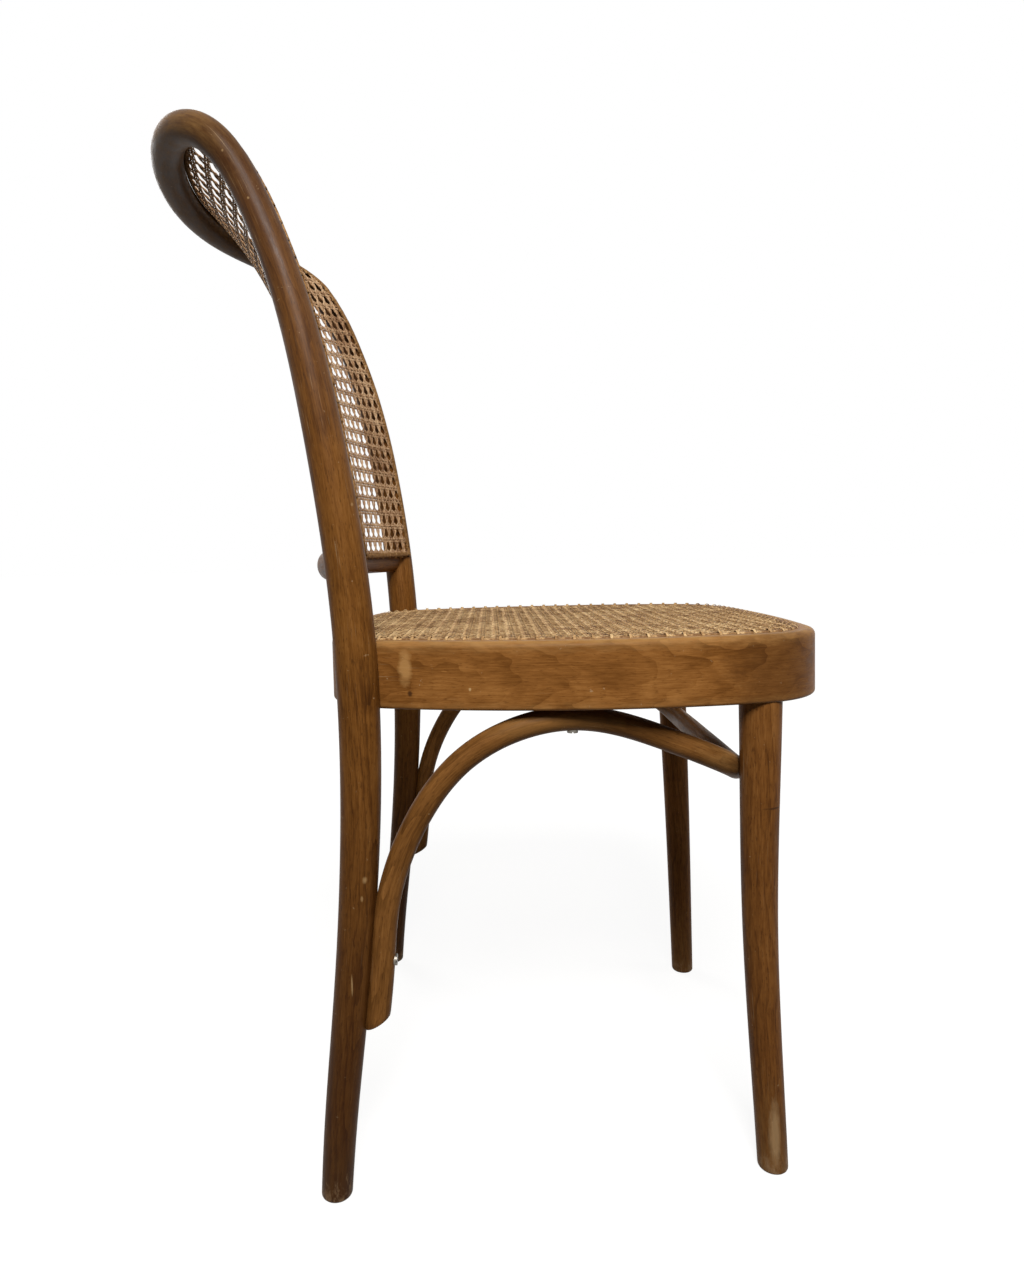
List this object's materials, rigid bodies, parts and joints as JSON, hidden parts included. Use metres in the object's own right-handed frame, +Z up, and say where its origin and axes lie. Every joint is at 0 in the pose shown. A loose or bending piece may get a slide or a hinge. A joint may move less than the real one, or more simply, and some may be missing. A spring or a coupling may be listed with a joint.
{
  "type": "bentwood dining chair",
  "caption": "Armless bentwood dining chair with a hooped back, woven cane seat and back, and a bent brace under the seat.",
  "frame": {"origin": "on the floor, under the middle of the chair's width and length", "axes": "+X to the sitter's left, -Y the way the sitter faces, +Z up from the floor"},
  "size_m": [0.4366, 0.592, 0.8918],
  "materials": {
    "stained_beech": "satin",
    "plain_beech": "matte",
    "cane": "satin",
    "steel": "satin"
  },
  "bodies": {
    "root": {"back_hoop": "stained_beech", "lower_back_rail": "stained_beech", "seat_ring": "stained_beech", "front_leg_left": "stained_beech", "front_leg_right": "stained_beech", "brace": "stained_beech", "corner_block_left": "plain_beech", "corner_block_right": "plain_beech", "seat_cane": "cane", "seat_cane_binding": "cane", "back_cane": "cane", "back_cane_binding": "cane", "stile_screws": "steel", "stile_screw_washers": "steel", "corner_block_screws": "steel", "brace_foot_screws": "steel", "brace_crest_screws": "steel", "brace_leg_screws": "steel"}
  },
  "joints": []
}
